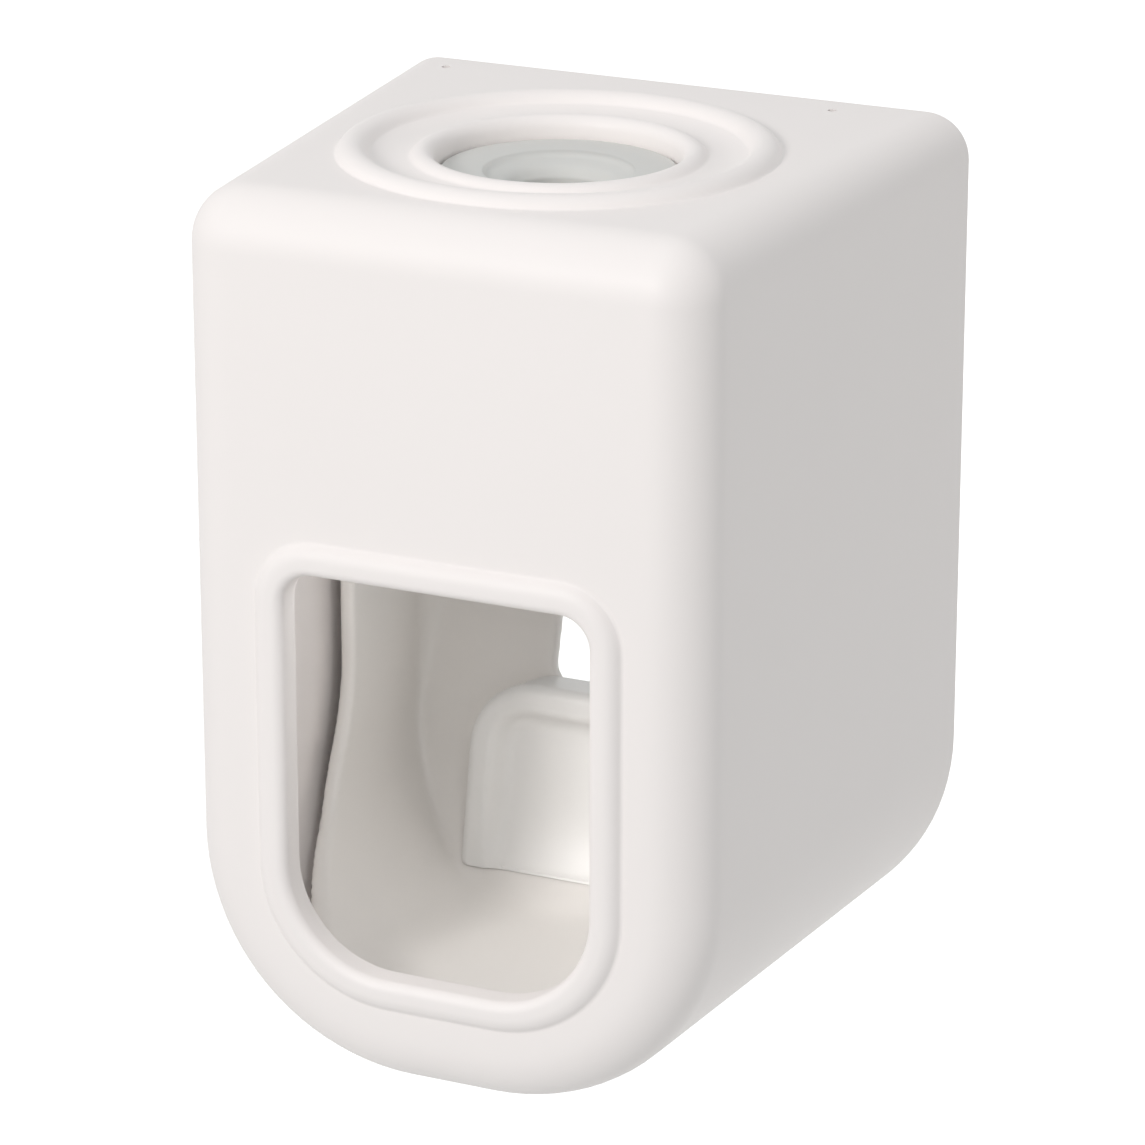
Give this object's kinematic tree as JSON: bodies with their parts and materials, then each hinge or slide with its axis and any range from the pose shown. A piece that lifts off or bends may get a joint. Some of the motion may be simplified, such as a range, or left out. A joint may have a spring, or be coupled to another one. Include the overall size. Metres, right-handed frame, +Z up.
{
  "type": "toothpaste dispenser",
  "caption": "Wall-hung toothpaste dispenser: tapered housing, tube ring and soft seal on top, and a beaded front window where a brush swings the push lever back",
  "frame": {"origin": "the middle of the sticky pad's back face, where the dispenser meets the wall", "axes": "+Y points into the wall, the window faces -Y, +X is to the right for a person who faces the window, +Z is up"},
  "size_m": [0.06, 0.0559, 0.0861],
  "materials": {
    "white_shell": "satin gloss moulded plastic",
    "white_lever": "satin moulded plastic",
    "white_pad": "satin gloss moulded plastic",
    "inner_plastic": "fine matt moulded plastic",
    "grey_silicone": "matt silicone",
    "clear_silicone": "milky silicone",
    "valve_silicone": "cream silicone",
    "dark_rubber": "matt rubber",
    "foam_tape": "matt foam with adhesive",
    "plated_steel": "zinc plated",
    "spring_steel": "bright drawn wire"
  },
  "bodies": {
    "wall_mount": {"adhesive_pad": "foam_tape", "wall_plate": "inner_plastic"},
    "dispenser": {"housing": "white_shell", "carrier": "inner_plastic", "carrier_screws": "plated_steel", "tube_seal": "grey_silicone", "inlet_collar": "inner_plastic", "inlet_valve": "valve_silicone", "squeeze_tube": "clear_silicone", "outlet_collar": "inner_plastic", "outlet_valve": "valve_silicone", "nozzle_cap": "white_pad", "pin_left": "plated_steel", "pin_right": "plated_steel", "spring_left": "spring_steel", "spring_right": "spring_steel", "lever_buffers": "dark_rubber"},
    "lever": {"push_lever": "white_lever", "push_pad": "white_pad", "press_bar": "inner_plastic"}
  },
  "joints": [
    {"name": "housing_lift", "type": "slide", "parent": "wall_mount", "child": "dispenser", "axis": [0, 0, 1], "range_m": [0, 0.003]},
    {"name": "lever_swing", "type": "hinge", "parent": "dispenser", "child": "lever", "pos_m": [0, -0.03, 0.013], "axis": [1, 0, 0], "range_deg": [0, 8], "stiffness_Nm_per_rad": 0.4, "springref_deg": -8.59, "deforming": ["squeeze_tube", "spring_left", "spring_right"]}
  ]
}
